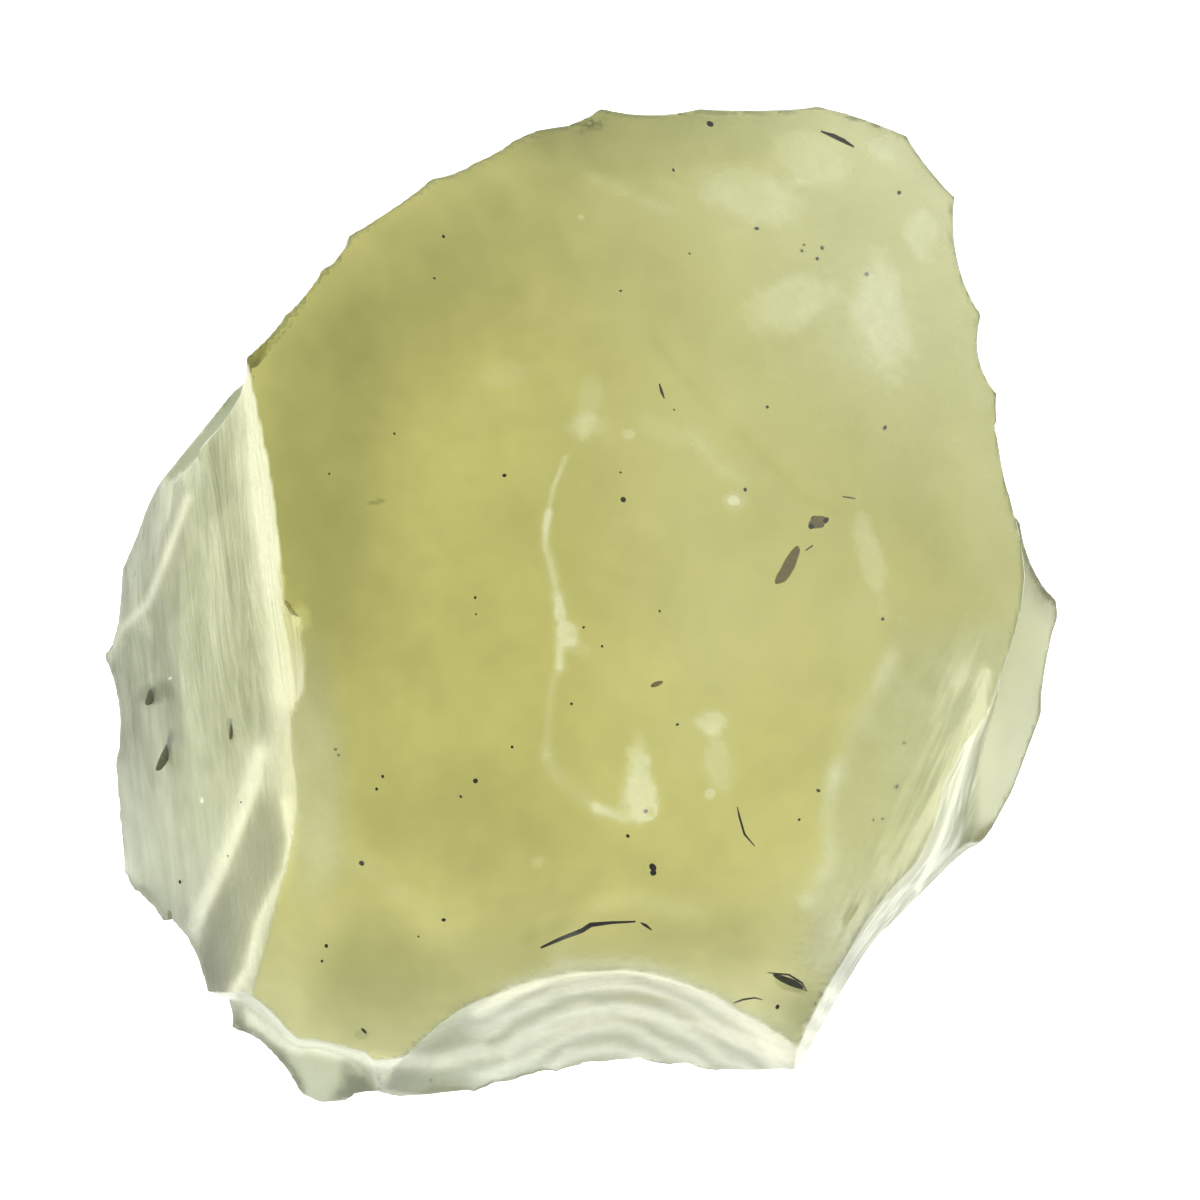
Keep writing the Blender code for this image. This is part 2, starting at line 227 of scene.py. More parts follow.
modify(lump, 'SMOOTH', factor=SMOOTH_SHARE, iterations=FACET_STEPS, vertex_group="facets")
modify(lump, 'SMOOTH', factor=SMOOTH_SHARE, iterations=LAST_STEPS)
print("points held back on ridges:", int((free < 0.5).sum()))

# %% [markdown]
# ## Ridges and lines
# Some ridges of the lump catch the light as pale bands, and pale threads run through the glass where healed
# cracks and old scars of the underside catch the light. Both are painted highlights in colour and gloss, on
# the skin, and a few threads are painted shadows. Each is given by its bends, in millimetres from above.

# %% Ridges and lines
UPPER_RIDGE = ((-13.69, 10.35), (-13.56, 9.31), (-13.27, 7.73), (-13.15, 5.29), (-12.94, 3.6),
               (-12.65, 1.78), (-12.48, 0.37), (-12.2, -1.7), (-12.05, -3.3))
INNER_RIDGE = ((-12.19, -8.09), (-11.95, -9.54), (-12.21, -10.85), (-12.95, -12.17), (-13.35, -12.99),
               (-13.89, -15.11), (-14.74, -16.3))
LOW_BAND = ((-13.32, -6.04), (-13.9, -8.27), (-15.02, -10.96), (-15.88, -12.68), (-16.19, -13.5))
OUTER_RIDGE = ((-16.37, 4.64), (-16.92, 3.27), (-17.79, 1.21), (-18.24, 0.2), (-19.48, -0.9),
               (-19.84, -1.65))
LIP_LINE = ((-15.3, -16.44), (-14.36, -16.82), (-12.8, -18.22), (-12.12, -18.47), (-11.4, -18.4),
            (-9.28, -18.89), (-7.93, -19.01), (-6.31, -19.18), (-5.6, -19.1), (-4.2, -18.67))
SCOOP_EDGE = ((-4.2, -16.92), (-3.86, -16.79), (-2.46, -15.73), (-1.08, -15.13), (0.01, -14.88),
              (1.38, -14.8), (2.71, -14.93), (4.05, -15.49), (5.19, -16.01), (5.86, -16.5),
              (7.21, -17.41), (8.34, -17.99), (9.41, -19.05))
SCOOP_RIPPLE = ((-3.02, -18.81), (-1.15, -17.78), (0.21, -17.24), (1.93, -17.1), (3.78, -17.21),
                (5.64, -17.73), (7.48, -18.3), (9.33, -19.05))
FLAKE_LINE = ((17.0, -2.6), (16.73, -4.0), (16.0, -6.9), (15.2, -9.4), (14.3, -11.8))
ROUGH_BAND = ((16.9, -3.4), (16.2, -6.3), (15.3, -8.8), (14.2, -11.4), (12.6, -13.6))
RIGHT_STREAK = ((12.86, -2.03), (12.32, -3.24), (11.19, -4.93), (10.49, -6.88), (10.25, -8.33),
                (10.34, -10.42), (9.4, -12.1))
BRIGHT_LINE = ((-0.53, 6.28), (-1.06, 5.0), (-1.27, 3.92), (-1.35, 3.43), (-1.39, 2.56), (-1.1, 1.61),
               (-0.9, 0.62), (-0.77, -0.21), (-0.8, -1.4), (-0.85, -2.44), (-1.06, -3.02),
               (-1.23, -4.09), (-1.33, -6.03), (-0.98, -6.86), (-0.07, -7.61), (0.76, -8.23),
               (1.75, -8.65), (2.6, -8.69))
# the bright line's middle, where it swells
SWELLING = ((-0.8, 0.3), (-0.75, -1.0), (-0.8, -2.35))
# the bends, the width and the strength of each thread; a positive strength is a painted highlight, a negative
# one a painted shadow
LIGHT_AND_SHADOW_THREADS = (
    (BRIGHT_LINE[:4], 0.12, 0.8),
    (BRIGHT_LINE[2:8], 0.17, 1.2),
    (SWELLING, 0.24, 1.0),
    (BRIGHT_LINE[9:13], 0.2, 0.4),
    (BRIGHT_LINE[12:16], 0.42, 0.4),
    (BRIGHT_LINE[15:], 0.26, 0.9),
    (((0.71, 17.86), (2.33, 17.11), (3.95, 16.49)), 0.3, 0.4),
    (((4.65, 7.32), (5.64, 6.08), (6.72, 5.25)), 0.35, 0.34),
    (((-0.79, -14.2), (0.0, -13.0), (0.88, -12.3), (2.9, -12.1), (5.04, -12.73)), 0.5, 0.3),
    (((-9.49, -10.0), (-7.01, -12.3), (-4.12, -15.05)), 0.8, 0.24),
    (((3.2, 11.01), (5.39, 8.4), (7.55, 6.46), (9.24, 4.64), (10.62, 4.06)), 0.3, -0.2),
    (((-2.0, -13.6), (0.2, -12.9), (2.2, -12.7)), 0.4, -0.25),
    (RIGHT_STREAK, 0.45, 0.34),
)
print("threads in the glass:", len(LIGHT_AND_SHADOW_THREADS))

# %% [markdown]
# ## Clouds, scars and stains
# Beside the threads lie pale clouds, small bright points and darker stains. The wide ones are soft: painted
# light where hollows of the underside make the glass thinner, and painted shade where it is thick. Each is
# an oval, given by its middle, its two half widths, its turn in degrees and its strength. A negative strength
# makes a place darker, for a stain as for painted shade.

# %% Clouds, scars and stains
# painted light on the shell shaped scars at the upper right, where the glass is thinner
LIT_SCALLOPS = (
    (7.1, 17.2, 2.4, 1.15, -15.0, 0.4), (9.75, 18.7, 1.8, 1.1, -25.0, 0.42),
    (12.6, 12.2, 1.2, 2.6, 8.0, 0.3), (8.75, 12.7, 1.9, 1.2, 20.0, 0.35),
    (12.6, 19.1, 0.8, 0.5, -30.0, 0.45), (14.2, 15.7, 0.8, 1.2, 0.0, 0.4),
    (12.1, 2.2, 0.6, 2.0, 15.0, 0.4),
)
# clouds beside the bright line
CLOUDS = (
    (-3.2, 9.67, 1.2, 0.5, 8.0, 0.26), (0.45, 8.4, 0.5, 1.6, -12.0, 0.34),
    (0.35, 7.6, 0.95, 0.55, 0.0, 0.36), (2.06, 7.2, 0.28, 0.24, 0.0, 0.5),
    (3.4, 7.4, 1.4, 0.5, -30.0, 0.2), (-0.45, -1.0, 0.42, 0.55, 20.0, 0.75),
    (-0.1, -1.6, 0.7, 0.35, -20.0, 0.3), (2.5, -6.5, 0.42, 1.4, 0.0, 0.5),
    (2.5, -7.2, 0.72, 1.2, 0.0, 0.4), (2.55, -7.9, 1.0, 0.85, 0.0, 0.6),
    (5.5, -4.7, 0.75, 0.6, 10.0, 0.65), (5.75, -6.3, 0.55, 1.5, 8.0, 0.45),
    (5.43, -7.65, 0.26, 0.26, 0.0, 0.7), (6.42, 4.47, 0.6, 0.45, 0.0, 0.3),
    (-1.69, -10.49, 0.35, 0.3, 0.0, 0.5), (-11.5, -0.3, 0.45, 0.6, 0.0, 0.5),
)
BRIGHT_POINTS = (
    (6.42, 4.47, 0.26, 0.2, 0.0, 1.2), (0.09, 16.23, 0.16, 0.12, 0.0, 0.6),
    (-17.23, -2.92, 0.08, 0.07, 0.0, 1.0), (-15.86, -8.08, 0.08, 0.07, 0.0, 1.0),
)
STAINS = (
    (-18.0, -3.6, 0.9, 0.5, 20.0, -0.75), (-14.6, -5.05, 0.14, 0.6, 8.0, -0.5),
    (-8.33, 4.42, 0.45, 0.12, 10.0, -0.4), (11.28, -12.74, 0.5, 0.14, 60.0, -0.4),
    (8.75, -15.7, 0.8, 0.28, -25.0, -0.4), (-15.2, 5.3, 0.7, 2.2, -12.0, -0.35),
    (-16.3, 1.2, 0.6, 1.6, -25.0, -0.2), (-18.7, -2.1, 0.9, 1.2, 0.0, -0.25),
    (-9.04, -17.8, 0.3, 0.22, 0.0, -0.2),
)
# painted light where the glass is thinner
PAINTED_LIGHT_AREAS = (
    (9.3, 12.0, 6.2, 5.2, -35.0, 0.1), (12.2, 12.0, 2.5, 3.2, 8.0, 0.3),
    (11.9, -0.6, 1.6, 1.4, 0.0, 0.14), (4.6, -5.9, 1.6, 1.6, 0.0, 0.12),
    (5.9, -1.3, 2.2, 3.4, 0.0, 0.1), (3.0, -1.2, 4.6, 7.4, 0.0, 0.06),
    (-11.2, -13.0, 1.3, 4.6, -12.0, 0.3), (10.4, -13.6, 2.6, 3.2, -20.0, 0.2),
)
# painted shade where the glass is thick
PAINTED_SHADE_AREAS = (
    (-10.8, 4.0, 3.4, 8.0, 0.0, -0.6), (-7.0, 13.6, 6.5, 3.8, 40.0, -0.5),
    (-5.8, -8.4, 4.4, 2.6, 0.0, -0.34), (-9.4, -15.4, 4.2, 3.2, 0.0, -0.66),
    (3.5, 20.0, 8.5, 2.0, 0.0, -0.55), (9.6, -17.0, 1.6, 1.6, 0.0, -0.8),
    (1.5, 13.5, 4.5, 4.0, 0.0, -0.25), (14.6, 1.5, 1.8, 3.6, 0.0, -0.2),
    (-0.5, -10.6, 4.6, 1.9, 0.0, -0.16), (6.2, -13.6, 3.4, 2.0, -20.0, -0.1),
)
SPOTS = LIT_SCALLOPS + CLOUDS + BRIGHT_POINTS + STAINS
AREAS = PAINTED_LIGHT_AREAS + PAINTED_SHADE_AREAS
# a bright ring at the end of the bright line: its middle, its radius, its width and its strength
RING_PLACE = (2.87, -8.36)
RING_RADIUS = 0.33
RING_WIDTH = 0.1
RING_STRENGTH = 0.9
print("spots:", len(SPOTS), "areas:", len(AREAS))

# %% [markdown]
# ## A finer skin under the thin marks
# What is painted on points can't be finer than their spacing. The skin is therefore divided again under the
# thin threads, the small spots and the ring, and nowhere else, so the lump stays light.

# %% Divide the skin under the thin marks
FINE_WIDTH = 0.3
FINE_CUTS = 2
LINE_MARGIN = 2.5
SPOT_MARGIN = 2.0
RING_MARGIN = 0.8
FACES_UP = 0.3


def from_path(points, path):
    """How far each point lies from a bent line, seen from above."""
    nearest = np.full(len(points), np.inf)
    for start, end in zip(path, path[1:]):
        start, run = np.array(start), np.subtract(end, start)
        along = np.clip((points[:, :2] - start) @ run / (run @ run), 0.0, 1.0)
        away = np.linalg.norm(points[:, :2] - start - along[:, None] * run, axis=1)
        nearest = np.minimum(nearest, away)
    return nearest


def in_oval(points, oval):
    """How far out each point lies in a turned oval: 0 in its middle and 1 on its edge."""
    x, y, wide, high, turn = oval[:5]
    turn = math.radians(turn)
    east, north = points[:, 0] - x, points[:, 1] - y
    along = east * math.cos(turn) + north * math.sin(turn)
    across = north * math.cos(turn) - east * math.sin(turn)
    return np.hypot(along / wide, across / high)


def of_faces(thing, what):
    """The middle or the normal of every face of a mesh."""
    found = np.empty(len(thing.data.polygons) * 3)
    thing.data.polygons.foreach_get(what, found)
    return found.reshape(-1, 3)


centres = of_faces(lump, "center") / MM
fine = np.hypot(centres[:, 0] - RING_PLACE[0], centres[:, 1] - RING_PLACE[1]) < RING_MARGIN
for path, width, strength in LIGHT_AND_SHADOW_THREADS:
    if width < FINE_WIDTH:
        fine |= from_path(centres, path) < LINE_MARGIN * width
for spot in SPOTS:
    if min(spot[2:4]) < FINE_WIDTH:
        fine |= in_oval(centres, spot) < SPOT_MARGIN
fine &= of_faces(lump, "normal")[:, 2] > FACES_UP
bpy.ops.object.mode_set(mode='EDIT')
bpy.ops.mesh.select_mode(type='FACE')
bpy.ops.mesh.select_all(action='DESELECT')
bpy.ops.object.mode_set(mode='OBJECT')
lump.data.polygons.foreach_set("select", fine)
bpy.ops.object.mode_set(mode='EDIT')
bpy.ops.mesh.subdivide(number_cuts=FINE_CUTS)
bpy.ops.object.mode_set(mode='OBJECT')
print("faces divided:", int(fine.sum()), "and now", len(lump.data.polygons), "in all")

# %% [markdown]
# ## Find the faces of the lump
# The crown and the flake on the right are smooth and clear. The steep faces on the left, the rippled scar at
# the bottom, the lip beside it and the wall below the flake were sanded by the wind. Each face gets a mask, a
# number from 0 to 1 for each point, which comes from where the point lies and which way it faces. A pair of
# numbers is where a mask starts and where it is full: of a normal's part, or of millimetres.

# %% Find the faces
SEEN_TILT = (0.0, 0.12)
SKIN_TILT = (-0.5, -0.25)
CROWN_TILT, CROWN_HEIGHT = (0.62, 0.76), (8.6, 9.4)
FLAKE_TILT, FLAKE_SIDE = (0.55, 0.8), (16.6, 17.0)
LEFT_TILT, LEFT_SIDE = (0.3, 0.5), (9.5, 10.5)
SCOOP_TILT, SCOOP_SIDE, SCOOP_REACH = (0.2, 0.4), (-5.5, -3.5), (4.0, 3.0)
SCOOP_FOOT = ((2.9, -20.5), (-4.2, -16.92))
WALL_SIDE, WALL_LOW, WALL_END = (9.0, 10.5), (3.0, 5.0), (-18.0, -17.0)
LIP_LOW, LIP_END = (15.5, 16.5), (-9.0, -8.0)
RIM_SLANT, RIM_CUT, RIM_SIDE = 0.5, (-3.0, 0.0), (-13.5, -12.5)

box_low = np.array(cad_box[0]) / MM
box_high = np.array(cad_box[1]) / MM
place = np.clip(places(lump), box_low, box_high)
lump.data.vertices.foreach_set("co", (place * MM).ravel())
lump.data.update()
facing = normals(lump)
x, y, z = place.T
up = facing[:, 2]
seen = ramp(up, *SEEN_TILT)
skinned = ramp(up, *SKIN_TILT)
crown = ramp(up, *CROWN_TILT) * ramp(z, *CROWN_HEIGHT)
steep = 1.0 - crown
flake = ramp(x, *FLAKE_SIDE) * ramp(up, *FLAKE_TILT)
left = ramp(-facing[:, 0], *LEFT_TILT) * seen * ramp(-x, *LEFT_SIDE) * steep
scoop = steep * seen * ramp(from_path(place, SCOOP_EDGE + SCOOP_FOOT), *SCOOP_REACH)
scoop = scoop * ramp(-facing[:, 1], *SCOOP_TILT) * ramp(x, *SCOOP_SIDE)
wall = steep * ramp(x, *WALL_SIDE) * ramp(-y, *WALL_LOW) * ramp(-x, *WALL_END)
lip = steep * seen * ramp(-y, *LIP_LOW) * (1.0 - scoop) * ramp(-x, *LIP_END)
rim = skinned * (1.0 - seen) * ramp(y + RIM_SLANT * x, *RIM_CUT) * ramp(x, *RIM_SIDE)
for name, mask in (("crown", crown), ("left", left), ("scoop", scoop), ("wall", wall), ("lip", lip)):
    print(name, "points:", int((mask > 0.5).sum()))

# %% [markdown]
# ## Smaller regions
# Beside the steep face on the left lies a softly ground bevel, and below it a darker face, shaped like a lens
# between two bands. Toward the upper right the crown grows milky, and more so in a band along its right side.
# Random clouds, 1.1 and 0.45 mm across, make every border uneven.

# %% Find the smaller regions
WOBBLE_SIZE, FRINGE_SIZE = 1.1, 0.45
WOBBLE_SEED, FRINGE_SEED = 3.0, 9.0
WOBBLE_TEAR, FRINGE_TEAR = 0.3, 0.25
BEVEL = (-11.2, -6.2, 1.7, 5.6, 3.0)
BEVEL_FADE, BEVEL_WOBBLE = (0.4, 1.3), 0.1
LENS_LEFT, LENS_RIGHT, LENS_TOP = (0.1, 0.6), (0.0, 0.4), (7.3, 8.3)
PAST_RIDGE, PAST_LOW, PAST_HIGH = (0.0, 0.4), (-5.2, -3.4), (-2.2, -1.4)
RIGHT_START, RIGHT_TOP, RIGHT_WOBBLE = (-0.5, 0.6), (-1.0, 3.0), 0.3
MILK_TOWARD, MILK_RISE, MILK_WOBBLE = (0.75, 0.45), (-2.0, 14.0), 0.8
SCRATCH_WIDTH = 1.7


def clouds(points, size, seed):
    """Soft random numbers between about -1 and 1, whose clouds are of the given size."""
    shift = Vector((seed, 0.0, 0.0))
    return np.array([noise.noise(Vector(point) / size + shift) for point in points])


def right_of(points, path):
    """How far each point lies to the right of a line that runs down the lump."""
    sides, heights = np.transpose(path)
    return points[:, 0] - np.interp(-points[:, 1], -heights, sides)


def glow(points, path, width, tear=1.0):
    """1 on a bent line, fading to 0 over its width; a tear makes the fading uneven."""
    return np.exp(-(from_path(points, path) * tear / width) ** 2)


wobble = clouds(place, WOBBLE_SIZE, WOBBLE_SEED)
fringe = clouds(place, FRINGE_SIZE, FRINGE_SEED)
torn = 1.0 + WOBBLE_TEAR * wobble + FRINGE_TEAR * fringe
in_bevel = in_oval(place, BEVEL) * (1.0 + BEVEL_WOBBLE * wobble)
bevel = seen * (1.0 - ramp(in_bevel, *BEVEL_FADE))
lens_face = left * ramp(right_of(place, LOW_BAND), *LENS_LEFT)
lens_face = lens_face * ramp(-right_of(place, INNER_RIDGE), *LENS_RIGHT) * ramp(-y, *LENS_TOP)
past_ridge = left * ramp(right_of(place, UPPER_RIDGE), *PAST_RIDGE)
past_ridge = past_ridge * ramp(y, *PAST_LOW) * ramp(-y, *PAST_HIGH)
past_streak = right_of(place, RIGHT_STREAK) + RIGHT_WOBBLE * wobble
right = crown * ramp(past_streak, *RIGHT_START) * ramp(-y, *RIGHT_TOP)
toward = MILK_TOWARD[0] * x + MILK_TOWARD[1] * y + MILK_WOBBLE * wobble
milky = crown * ramp(toward, *MILK_RISE)
scratched = seen * (1.0 - flake) * glow(place, ROUGH_BAND, SCRATCH_WIDTH, torn)
print("points of the bevel:", int((bevel > 0.5).sum()), "of the lens:", int((lens_face > 0.5).sum()))

# %% [markdown]
# ## Marks in the glass
# The threads, spots, areas and the ring add up to one number, the tone: pale where it is above 0 and shaded
# where it is below. Much of it is painted light and painted shade, while the stains are the glass's own
# colour. Spots have torn edges. Areas fade slowly and keep to the crown. All of them are painted on the upper
# side only, or they would be seen twice, once on each skin.

# %% Paint the marks
LINE_STEADY, LINE_WOBBLE = 0.85, 0.5
SPOT_EDGE = (0.65, 1.15)
AREA_FADE, AREA_WOBBLE = (0.1, 1.6), 0.12
RING_STEADY, RING_FRINGE = 0.8, 0.8
RIGHT_PALE, RIGHT_PATCHY = 0.21, 0.1
MILKY_PALE, MILKY_PATCHY = 0.14, 0.08

tone = np.zeros(len(place))
for path, width, strength in LIGHT_AND_SHADOW_THREADS:
    tone += strength * glow(place, path, width, torn) * (LINE_STEADY + LINE_WOBBLE * wobble)
for spot in SPOTS:
    tone += spot[5] * (1.0 - ramp(in_oval(place, spot) * torn, *SPOT_EDGE))
for area in AREAS:
    in_area = in_oval(place, area) * (1.0 + AREA_WOBBLE * wobble)
    tone += crown * area[5] * (1.0 - ramp(in_area, *AREA_FADE))
from_ring = np.hypot(x - RING_PLACE[0], y - RING_PLACE[1]) - RING_RADIUS
ring = np.exp(-(from_ring / RING_WIDTH) ** 2) * (RING_STEADY + RING_FRINGE * fringe)
tone = (tone + RING_STRENGTH * ring) * seen
tone += right * (RIGHT_PALE + RIGHT_PATCHY * wobble) + milky * (MILKY_PALE + MILKY_PATCHY * wobble)
print("pale points:", int((tone > 0.3).sum()), "shaded points:", int((tone < -0.1).sum()))

# %% [markdown]
# ## Matt and clear
# A second number, the frost, says how matt the skin is. Steep faces are matt, the flake less so, and the
# walls of the rim are clear. Past the ridge on the left, where the notch was, the glass is clear as well. The
# bevel is half matt. On the crown only the pale marks, the milky parts, the edge of the rippled scar and the
# scratches are matt.

# %% Paint the frost
FLAKE_CLEAR = 0.65
BEVEL_FROST = 0.68
LENS_CLEAR = 0.45
MARK_FROST = 0.9
MILK_FROST = 0.3
EDGE_FROST, EDGE_WIDTH = 0.8, 0.5
SCRATCH_FROST = 0.5

frost = steep * skinned * (1.0 - FLAKE_CLEAR * flake) * (1.0 - rim) * (1.0 - past_ridge)
frost = (frost * (1.0 - bevel) + BEVEL_FROST * bevel) * (1.0 - LENS_CLEAR * lens_face)
frost += crown * (MARK_FROST * np.clip(tone, 0.0, 1.0) + MILK_FROST * (right + milky))
frost += crown * EDGE_FROST * glow(place, SCOOP_EDGE, EDGE_WIDTH, torn)
frost += crown * SCRATCH_FROST * scratched
frost = np.clip(frost, 0.0, 1.0)
print("matt points:", int((frost > 0.5).sum()))

# %% [markdown]
# ## Bands on the ridges and ripples in the scar
# The ridges of the sanded faces catch the light as pale bands, some with torn edges. The scar at the bottom
# was made by one blow, and its ripples run round the place that was hit, 0.95 mm apart. Last, each face gets
# the even paleness or shade that the photo shows on it.

# %% Paint the ridges and faces
RIPPLE_SPACING, RIPPLE_WOBBLE = 0.95, 1.5
LOW_LEFT = (2.0, 9.0)
SIDE_WALL = (12.5, 13.5)
LEFT_PATCHY = 0.12
LENS_SHADE = 0.8
BEVEL_PALE = 0.46
RIM_LIGHT = 0.6
SIDE_WALL_LIGHT = 0.35
LOW_LEFT_PALE = 0.16
LIP_PALE = 0.3
SCOOP_PALE, RIPPLE_LIGHT = 0.4, 0.45
WALL_PALE, SCRATCH_PALE = 0.1, 0.12

# the mask that a band keeps to, its bends, its width, its strength and its tear
bands = (
    (left * (1.0 - past_ridge), UPPER_RIDGE, 0.7, 1.3, 1.0),
    (left, LOW_BAND, 0.45, 0.75, torn),
    (left, OUTER_RIDGE, 0.2, 0.6, 1.0),
    (seen, INNER_RIDGE, 0.35, 0.6, torn),
    (seen, LIP_LINE, 0.35, 0.9, 1.0),
    (seen, FLAKE_LINE, 0.16, 0.8, 1.0),
    (scoop, SCOOP_EDGE, 0.5, 0.5, 1.0),
    (scoop, SCOOP_RIPPLE, 0.3, 0.5, 1.0),
    (crown, SCOOP_EDGE, 0.45, 0.55, torn),
)
for mask, path, width, strength, tear in bands:
    tone += mask * strength * glow(place, path, width, tear)
# painted light and shade of the ripples: pale and darker bands that follow them round the scar
around = math.tau * from_path(place, SCOOP_EDGE) / RIPPLE_SPACING
ripple_light_and_shade = 0.5 + 0.5 * np.cos(around + RIPPLE_WOBBLE * wobble)
tone += scoop * (SCOOP_PALE + RIPPLE_LIGHT * ripple_light_and_shade)
tone += left * (LEFT_PATCHY * wobble - LENS_SHADE * lens_face)
tone += left * (1.0 - lens_face) * LOW_LEFT_PALE * ramp(-y, *LOW_LEFT)
# the bevel is paler; the clear walls of the rim and the steep walls at the left get painted light
tone += BEVEL_PALE * bevel + RIM_LIGHT * rim
tone += skinned * (1.0 - seen) * SIDE_WALL_LIGHT * ramp(-x, *SIDE_WALL)
tone += LIP_PALE * lip + WALL_PALE * wall + SCRATCH_PALE * scratched
print("bands:", len(bands))

# %% [markdown]
# ## Keep the numbers on the skin
# The material reads each number as an attribute of the points. The left face also gets one for its grooves,
# which fade toward its bottom, and the wall one for its scratches. The roughness grows with the frost, and
# the underside, which lay in the sand, is a little rough all over.

# %% Keep the painted numbers
CLEAR_ROUGH, UNDER_ROUGH, FROST_ROUGH = 0.09, 0.14, 0.4
UNDERSIDE = (0.0, 0.15)
GROOVED, GROOVED_WOBBLE = (-9.0, 1.0), 1.5
LEAST_GROOVED, LENS_SMOOTH = 0.45, 0.5
SMOOTH_ANGLE = 40.0


def paint(thing, name, values):
    """Keeps one number for each point of a mesh, for its material to read."""
    made = thing.data.attributes.new(name, 'FLOAT', 'POINT')
    made.data.foreach_set("value", np.asarray(values, np.float32))


grooved = LEAST_GROOVED + (1.0 - LEAST_GROOVED) * ramp(y + GROOVED_WOBBLE * wobble, *GROOVED)
paint(lump, "frost", frost)
paint(lump, "pale", np.clip(tone, 0.0, 1.0))
paint(lump, "shade", np.clip(-tone, 0.0, 1.0))
paint(lump, "streaked", left * (1.0 - LENS_SMOOTH * lens_face) * grooved)
paint(lump, "scratched", scratched)
paint(lump, "rough", CLEAR_ROUGH + UNDER_ROUGH * ramp(-up, *UNDERSIDE) + FROST_ROUGH * frost)
only(lump)
bpy.ops.object.shade_smooth_by_angle(angle=math.radians(SMOOTH_ANGLE))
print("numbers on the skin:", [made.name for made in lump.data.attributes if made.data_type == 'FLOAT'])

# %% [markdown]
# ## How a material is put together
# A material is a tree of nodes. One function adds a node with its options, and gives each socket a value or
# links it to another node. Colours are written as sRGB hex values, as a paint program shows them, and turned
# into the linear numbers that light adds up in.

# %% Helpers for materials
MIX = {"data_type": 'RGBA'}
TIMES = {"operation": 'MULTIPLY'}
PLUS = {"operation": 'ADD'}


def linear(colour):
    """An sRGB hex colour as linear numbers."""
    parts = [int(colour[index:index + 2], 16) / 255 for index in (1, 3, 5)]
    return [part / 12.92 if part <= 0.04045 else ((part + 0.055) / 1.055) ** 2.4 for part in parts] + [1.0]


def new_material(name):
    """An empty material, and its output."""
    made = bpy.data.materials.new(name)
    made.use_nodes = True
    made.node_tree.nodes.clear()
    return made, made.node_tree.nodes.new('ShaderNodeOutputMaterial')


def add_node(material, kind, options=None, **sockets):
    """Adds a node. A socket is called by its name, or by its number after an underscore."""
    tree = material.node_tree
    node = tree.nodes.new("ShaderNode" + kind)
    for name, value in (options or {}).items():
        setattr(node, name, value)
    for name, value in sockets.items():
        socket = node.inputs[int(name[1:]) if name[0] == "_" else name.replace("_", " ")]
        if isinstance(value, bpy.types.NodeSocket):
            tree.links.new(value, socket)
        else:
            socket.default_value = value
    return node


# %% [markdown]
# ## Clear glass
# Natural silica glass with a fresh fracture is clear and glossy, and a little cloudy inside. The colour of
# its skin varies slightly, in clouds 2.5 and 7 mm across. The frame is in metres and a noise's scale counts
# the clouds in a metre, so each scale is 1 divided by the size of a cloud.

# %% Clear glass
CLOUD_SIZE = 2.5
DRIFT_SIZE = 7.143
CLEAR_DARK, CLEAR_LIGHT = "#B1B4A7", "#C4C7BD"

glass, output = new_material("natural_silica_glass")
where = add_node(glass, 'TexCoord').outputs["Object"]
painted = {}
for name in ("frost", "pale", "shade", "streaked", "scratched", "rough"):
    painted[name] = add_node(glass, 'Attribute', {"attribute_name": name}).outputs["Fac"]
cloud = add_node(glass, 'TexNoise', Vector=where, Scale=1.0 / (CLOUD_SIZE * MM), Detail=2.0,
                 Roughness=0.6).outputs[0]
drift = add_node(glass, 'TexNoise', Vector=where, Scale=1.0 / (DRIFT_SIZE * MM), Detail=0.0).outputs[0]
uneven = add_node(glass, 'Math', PLUS, _0=cloud, _1=drift).outputs[0]
uneven = add_node(glass, 'MapRange', Value=uneven, From_Min=0.75, From_Max=1.25).outputs[0]
clear = add_node(glass, 'Mix', MIX, _0=uneven, _6=linear(CLEAR_DARK), _7=linear(CLEAR_LIGHT)).outputs[2]
print("clear glass:", len(glass.node_tree.nodes), "nodes")

# %% [markdown]
# ## Sanded glass
# Blown sand has cut the left face into grooves, 0.7 mm wide and 8 mm long, that run beside its ridge, with
# small dark pits between them. A noise stretched along one direction gives them. The same noise, turned along
# the foot of the wall on the right, gives the scratches there.

# %% Sanded glass
GROOVE_SIZE = (0.6667, 7.6923, 2.0)
GROOVE_TURN = 6.0
SCRATCH_TURN = -24.0
MATT_DARK, MATT_LIGHT, PIT = "#828E70", "#C8D2BC", "#6A6E54"
PIT_STRENGTH = 0.6

stretch = [size * MM for size in GROOVE_SIZE]
along = add_node(glass, 'Mapping', {"vector_type": 'TEXTURE'}, Vector=where, Scale=stretch,
                 Rotation=(0.0, 0.0, math.radians(GROOVE_TURN))).outputs[0]
groove = add_node(glass, 'TexNoise', Vector=along, Scale=1.0, Detail=3.0, Roughness=0.75,
                  Distortion=0.8).outputs[0]
groove = add_node(glass, 'MapRange', Value=groove, From_Min=0.3, From_Max=0.7).outputs[0]
groove = add_node(glass, 'Math', TIMES, _0=groove, _1=painted["streaked"]).outputs[0]
pit = add_node(glass, 'TexNoise', Vector=along, Scale=0.8, Detail=0.0).outputs[0]
pit = add_node(glass, 'MapRange', Value=pit, From_Min=0.57, From_Max=0.66, To_Max=PIT_STRENGTH).outputs[0]
pit = add_node(glass, 'Math', TIMES, _0=pit, _1=painted["streaked"]).outputs[0]
matt = add_node(glass, 'Mix', MIX, _0=groove, _6=linear(MATT_DARK), _7=linear(MATT_LIGHT)).outputs[2]
matt = add_node(glass, 'Mix', MIX, _0=pit, _6=matt, _7=linear(PIT)).outputs[2]
